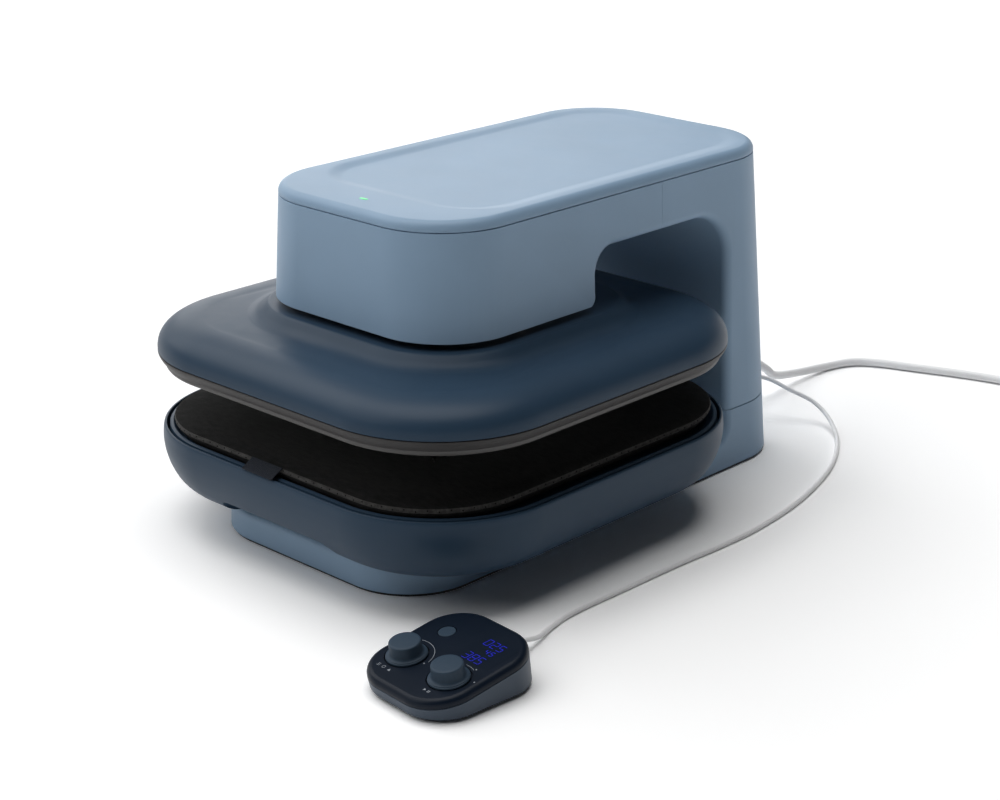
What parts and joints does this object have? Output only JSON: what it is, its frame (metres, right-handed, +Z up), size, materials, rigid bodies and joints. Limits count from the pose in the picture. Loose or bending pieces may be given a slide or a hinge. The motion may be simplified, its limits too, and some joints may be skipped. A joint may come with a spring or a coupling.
{
  "type": "automatic heat press",
  "caption": "Automatic heat press: a C-shaped housing lowers a heated platen onto a padded tray, set from a corded control pod with knobs.",
  "frame": {"origin": "where the vertical press axis meets the table, on the bottom plane of the rubber foot ring", "axes": "+Z up, +Y from the front of the tray to the back of the column, +X to the right seen from the front"},
  "size_m": [0.6035, 1.0652, 0.3036],
  "materials": {
    "slate_plastic": "satin",
    "navy_plastic": "satin",
    "pod_navy": "satin",
    "bezel_grey": "matte",
    "heat_plate_alu": "non-stick coated",
    "insulation_board": "matte",
    "mat_fabric": "woven",
    "tag_fabric": "woven",
    "rubber_black": "matte",
    "cover_black": "matte",
    "status_green": "glossy",
    "frame_steel": "brushed",
    "rod_chrome": "polished",
    "bush_bronze": "satin",
    "motor_metal": "satin",
    "supply_metal": "satin",
    "board_green": "satin",
    "display_black": "glossy",
    "knob_slate": "satin",
    "gland_grey": "matte",
    "cord_white": "satin",
    "plug_white": "satin"
  },
  "bodies": {
    "housing": {"foot_ring": "rubber_black", "base_plate": "cover_black", "base_shell": "slate_plastic", "column_shell": "slate_plastic", "head_shell": "slate_plastic", "lid": "slate_plastic", "status_light": "status_green", "inner_frame": "frame_steel", "guide_bush_left": "bush_bronze", "guide_bush_right": "bush_bronze", "gear_motor": "motor_metal", "control_board": "board_green", "power_supply": "supply_metal", "tray_shell": "navy_plastic", "tray_pan": "navy_plastic", "mat": "mat_fabric", "mat_tag": "tag_fabric", "pod_feet": "rubber_black", "pod_base": "pod_navy", "pod_top": "pod_navy", "pod_board": "board_green", "display_window": "display_black", "pod_sleeve": "pod_navy", "cable_gland": "gland_grey", "pod_cable": "cord_white", "power_gland": "gland_grey", "power_cord": "cord_white", "cord_coil": "cord_white", "cord_tail": "cord_white", "power_plug": "plug_white"},
    "platen": {"lift_nut": "bush_bronze", "lift_ram": "frame_steel", "guide_rod_left": "rod_chrome", "guide_rod_right": "rod_chrome", "carriage": "frame_steel", "platen_shell": "navy_plastic", "platen_bezel": "bezel_grey", "insulation": "insulation_board", "heat_plate": "heat_plate_alu"},
    "screw": {"drive_screw": "frame_steel"},
    "button": {"pod_button": "knob_slate"},
    "left_shaft": {"knob_shaft_left": "frame_steel"},
    "right_shaft": {"knob_shaft_right": "frame_steel"},
    "left_knob": {"knob_left": "knob_slate"},
    "right_knob": {"knob_right": "knob_slate"}
  },
  "joints": [
    {"name": "press_stroke", "type": "slide", "parent": "housing", "child": "platen", "axis": [0, 0, -1], "range_m": [0, 0.042]},
    {"name": "screw_spin", "type": "hinge", "parent": "housing", "child": "screw", "pos_m": [0, 0, 0.23], "axis": [0, 0, 1], "range_deg": [0, 760]},
    {"name": "button_push", "type": "slide", "parent": "housing", "child": "button", "axis": [0.0136, 0.1558, -0.9877], "range_m": [0, 0.0012], "stiffness_N_per_m": 400},
    {"name": "left_push", "type": "slide", "parent": "housing", "child": "left_shaft", "axis": [0.0136, 0.1558, -0.9877], "range_m": [0, 0.0015], "stiffness_N_per_m": 700},
    {"name": "left_spin", "type": "hinge", "parent": "left_shaft", "child": "left_knob", "pos_m": [0.21746, -0.25956, 0.02353], "axis": [-0.0136, -0.1558, 0.9877], "continuous": true},
    {"name": "right_push", "type": "slide", "parent": "housing", "child": "right_shaft", "axis": [0.0136, 0.1558, -0.9877], "range_m": [0, 0.0015], "stiffness_N_per_m": 700},
    {"name": "right_spin", "type": "hinge", "parent": "right_shaft", "child": "right_knob", "pos_m": [0.26627, -0.26383, 0.02353], "axis": [-0.0136, -0.1558, 0.9877], "continuous": true}
  ],
  "couplings": [
    {"joint": "screw_spin", "follows": "press_stroke", "rad_per_m": 314.16}
  ]
}
